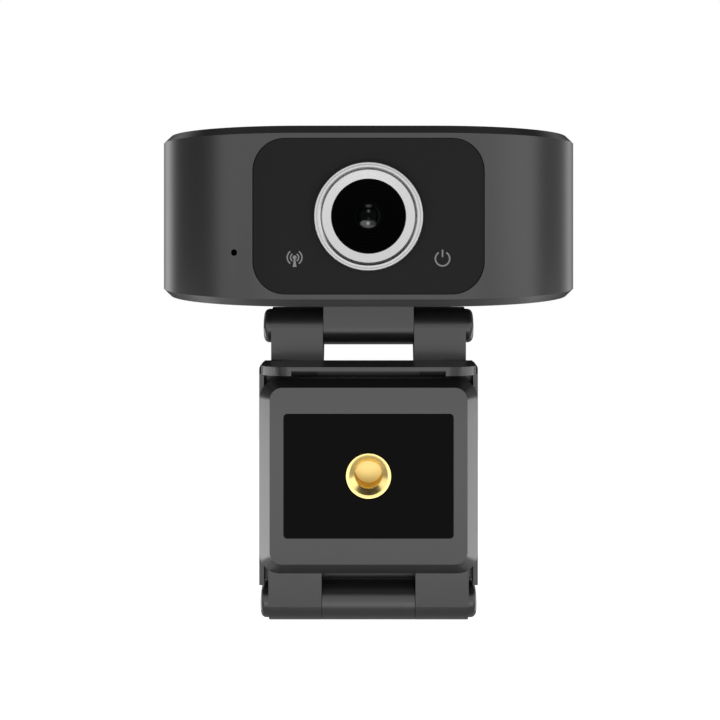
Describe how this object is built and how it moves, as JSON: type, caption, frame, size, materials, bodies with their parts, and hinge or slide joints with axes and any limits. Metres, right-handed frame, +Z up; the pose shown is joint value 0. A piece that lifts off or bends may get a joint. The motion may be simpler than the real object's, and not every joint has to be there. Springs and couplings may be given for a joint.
{
  "type": "webcam",
  "caption": "Webcam head with a ringed lens on a friction-hinged clip stand whose folding leg has a rubber pad and a brass tripod thread.",
  "frame": {"origin": "axis of the tripod thread, at the foot of its countersink", "axes": "+Z up with the stand folded and the head upright, -Y the way the lens looks and the tripod screw leaves, +X to the right seen from in front"},
  "size_m": [0.082, 0.0497, 0.094],
  "materials": {
    "shell_plastic": "fine-grained charcoal ABS",
    "clip_plastic": "fine-grained charcoal ABS",
    "cap_plastic": "fine-grained charcoal ABS",
    "face_black": "semi-gloss black panel",
    "trim_silver": "satin silver ring",
    "hood_black": "flat black light baffle",
    "barrel_black": "flat black lens barrel",
    "lens_glass": "coated optical glass",
    "filter_glass": "infrared cut filter",
    "holder_black": "moulded lens holder",
    "sensor_die": "sensor under its cover glass",
    "board_green": "solder-masked board",
    "chip_black": "chip package",
    "screw_steel": "zinc-plated steel",
    "pin_steel": "ground steel pin",
    "sleeve_bronze": "sprung bronze sleeve",
    "rubber_black": "matt black rubber",
    "mic_metal": "capsule can",
    "guide_clear": "clear acrylic",
    "led_white": "LED package",
    "socket_ivory": "nylon socket",
    "insert_brass": "bright brass"
  },
  "bodies": {
    "leg": {"leg": "clip_plastic", "leg_pad": "rubber_black", "grip_pad": "rubber_black", "tripod_insert": "insert_brass", "fold_pin": "pin_steel", "fold_caps": "cap_plastic"},
    "bracket": {"bracket": "clip_plastic", "tilt_pin": "pin_steel", "tilt_caps": "cap_plastic", "bracket_pad": "rubber_black", "fold_sleeve": "sleeve_bronze"},
    "head": {"front_shell": "shell_plastic", "rear_shell": "shell_plastic", "face_panel": "face_black", "lens_bezel": "trim_silver", "lens_trim": "trim_silver", "light_hood": "hood_black", "lens_barrel": "barrel_black", "front_lens": "lens_glass", "rear_lens": "lens_glass", "infrared_filter": "filter_glass", "lens_holder": "holder_black", "image_sensor": "sensor_die", "camera_board": "board_green", "video_chip": "chip_black", "board_screws": "screw_steel", "mic_boot": "rubber_black", "mic_capsule": "mic_metal", "light_guides": "guide_clear", "indicator_leds": "led_white", "cable_socket": "socket_ivory", "cable_grommet": "rubber_black", "case_screws": "screw_steel", "neck": "shell_plastic", "neck_screws": "screw_steel", "tilt_sleeve": "sleeve_bronze"}
  },
  "joints": [
    {"name": "leg_fold", "type": "hinge", "parent": "leg", "child": "bracket", "pos_m": [0, 0.00535, -0.02565], "axis": [-1, 0, 0], "range_deg": [0, 180]},
    {"name": "head_tilt", "type": "hinge", "parent": "bracket", "child": "head", "pos_m": [0, 0.01005, 0.02695], "axis": [-1, 0, 0], "range_deg": [-20, 90]}
  ]
}
